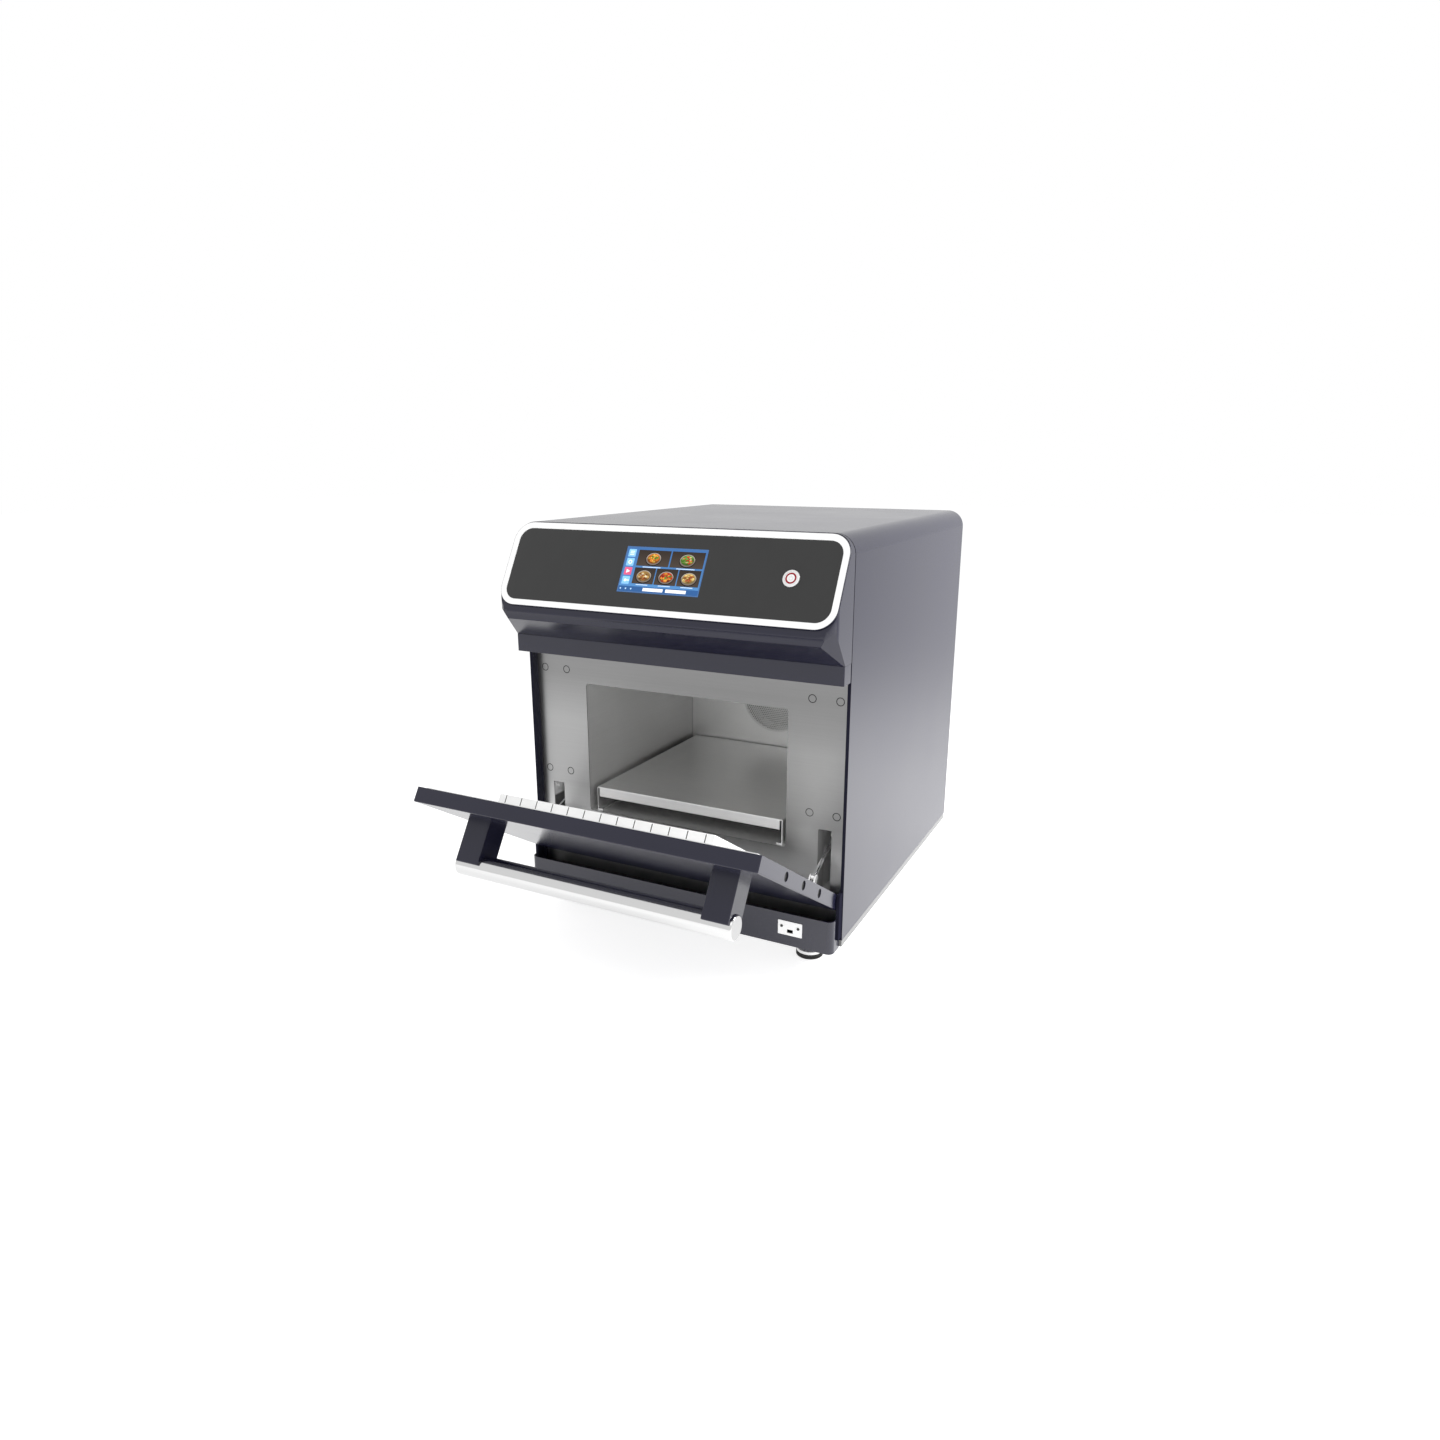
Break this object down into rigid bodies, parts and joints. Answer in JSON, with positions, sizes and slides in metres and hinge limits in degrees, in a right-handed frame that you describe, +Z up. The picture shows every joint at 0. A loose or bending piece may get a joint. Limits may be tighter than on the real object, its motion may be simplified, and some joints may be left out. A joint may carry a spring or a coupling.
{
  "type": "speed oven",
  "caption": "Countertop speed oven with a drop-down door shown half open, a bar handle, a slanted touch panel, a raised cooking deck and a fan outlet in the cavity's back wall.",
  "frame": {"origin": "bottom centre of the whole box, on the face of the feet", "axes": "+X across the front to the right, +Y from the front to the back, +Z up"},
  "size_m": [0.5, 0.8152, 0.588],
  "materials": {
    "body_paint": "satin dark grey coating",
    "door_paint": "satin dark grey coating",
    "dark_metal": "satin black coating",
    "arm_metal": "satin black coating",
    "brushed_steel": "brushed stainless",
    "cavity_steel": "satin stainless",
    "bright_steel": "polished",
    "chrome": "polished chrome",
    "trim_white": "gloss white",
    "fascia_dark": "dark glass-like panel",
    "screen": "gloss display glass",
    "choke_white": "satin white",
    "red_ring": "translucent red",
    "button_white": "gloss white",
    "galvanised": "galvanised sheet",
    "light_strip": "light grey coating",
    "aluminium": "satin aluminium",
    "rubber": "matt rubber",
    "blanket": "mineral blanket",
    "board_green": "circuit board",
    "black_plastic": "matt black",
    "iron": "lacquered iron",
    "mica": "mica",
    "white_plate": "gloss white",
    "brass": "satin brass"
  },
  "bodies": {
    "cabinet": {"outer_wrapper": "body_paint", "base_pan": "light_strip", "rear_panel": "galvanised", "rear_panel_screws": "bright_steel", "front_plate": "brushed_steel", "front_plate_rivets": "bright_steel", "hood_shell": "body_paint", "hood_lip": "body_paint", "fascia_trim": "trim_white", "fascia_panel": "fascia_dark", "touch_screen": "screen", "display_module": "black_plastic", "power_button_bezel": "chrome", "power_button_nut": "bright_steel", "cavity_box": "cavity_steel", "fan_grille": "cavity_steel", "cavity_insulation": "blanket", "cavity_stands": "galvanised", "fan_plenum": "galvanised", "convection_motor": "aluminium", "ring_heater": "bright_steel", "waveguide": "galvanised", "ceiling_cover": "mica", "magnetrons": "aluminium", "stirrer_motor": "galvanised", "hv_transformers": "iron", "hv_capacitors": "aluminium", "cooling_fan_housing": "black_plastic", "control_board": "board_green", "line_filter": "galvanised", "door_switches": "black_plastic", "lower_front_panel": "body_paint", "port_plate": "white_plate", "port_socket": "black_plastic", "port_screws": "bright_steel", "hinge_posts": "dark_metal", "stay_guides": "galvanised", "cord_gland": "black_plastic"},
    "door": {"door_shell": "door_paint", "door_core": "blanket", "door_liner": "brushed_steel", "door_choke": "choke_white", "door_side_plugs": "black_plastic", "hinge_bushes": "brass", "stay_clevises": "chrome", "handle_arms": "arm_metal", "handle_bar": "chrome", "handle_screws": "bright_steel"},
    "stay_left": {"stay_rod_left": "chrome"},
    "stay_right": {"stay_rod_right": "chrome"},
    "power_button": {"power_button_cap": "button_white", "power_button_ring": "red_ring"},
    "convection_fan": {"convection_impeller": "galvanised"},
    "cooling_fan": {"cooling_fan_rotor": "black_plastic"},
    "stirrer": {"mode_stirrer": "aluminium"},
    "deck": {"cook_deck": "cavity_steel"},
    "foot_front_left": {"foot_front_left": "rubber"},
    "foot_front_right": {"foot_front_right": "rubber"},
    "foot_rear_left": {"foot_rear_left": "rubber"},
    "foot_rear_right": {"foot_rear_right": "rubber"}
  },
  "joints": [
    {"name": "door_hinge", "type": "hinge", "parent": "cabinet", "child": "door", "pos_m": [0, -0.15317, 0.1094], "axis": [1, 0, 0], "range_deg": [-58.3, 31.7]},
    {"name": "stay_left_pivot", "type": "hinge", "parent": "door", "child": "stay_left", "pos_m": [-0.2165, -0.17381, 0.14448], "axis": [1, 0, 0], "range_deg": [-31.8, 58.4]},
    {"name": "stay_right_pivot", "type": "hinge", "parent": "door", "child": "stay_right", "pos_m": [0.2165, -0.17381, 0.14448], "axis": [1, 0, 0], "range_deg": [-31.8, 58.4]},
    {"name": "power_button_press", "type": "slide", "parent": "cabinet", "child": "power_button", "axis": [0, 0.8736, -0.4866], "range_m": [0, 0.0015], "stiffness_N_per_m": 1500, "springref_m": -0.001},
    {"name": "convection_fan_spin", "type": "hinge", "parent": "cabinet", "child": "convection_fan", "pos_m": [0, 0.21663, 0.282], "axis": [0, 1, 0], "continuous": true},
    {"name": "cooling_fan_spin", "type": "hinge", "parent": "cabinet", "child": "cooling_fan", "pos_m": [-0.15, 0.36763, 0.152], "axis": [0, 1, 0], "continuous": true},
    {"name": "stirrer_spin", "type": "hinge", "parent": "cabinet", "child": "stirrer", "pos_m": [0, 0.01463, 0.373], "axis": [0, 0, 1], "continuous": true},
    {"name": "deck_slide", "type": "slide", "parent": "cabinet", "child": "deck", "axis": [0, -1, 0], "range_m": [0, 0.055]},
    {"name": "foot_front_left_turn", "type": "hinge", "parent": "cabinet", "child": "foot_front_left", "pos_m": [-0.1925, -0.11787, 0], "axis": [0, 0, 1], "continuous": true},
    {"name": "foot_front_right_turn", "type": "hinge", "parent": "cabinet", "child": "foot_front_right", "pos_m": [0.1925, -0.11787, 0], "axis": [0, 0, 1], "continuous": true},
    {"name": "foot_rear_left_turn", "type": "hinge", "parent": "cabinet", "child": "foot_rear_left", "pos_m": [-0.1925, 0.35463, 0], "axis": [0, 0, 1], "continuous": true},
    {"name": "foot_rear_right_turn", "type": "hinge", "parent": "cabinet", "child": "foot_rear_right", "pos_m": [0.1925, 0.35463, 0], "axis": [0, 0, 1], "continuous": true}
  ],
  "couplings": [
    {"joint": "stay_left_pivot", "follows": "door_hinge", "ratio": -1},
    {"joint": "stay_right_pivot", "follows": "door_hinge", "ratio": -1}
  ]
}
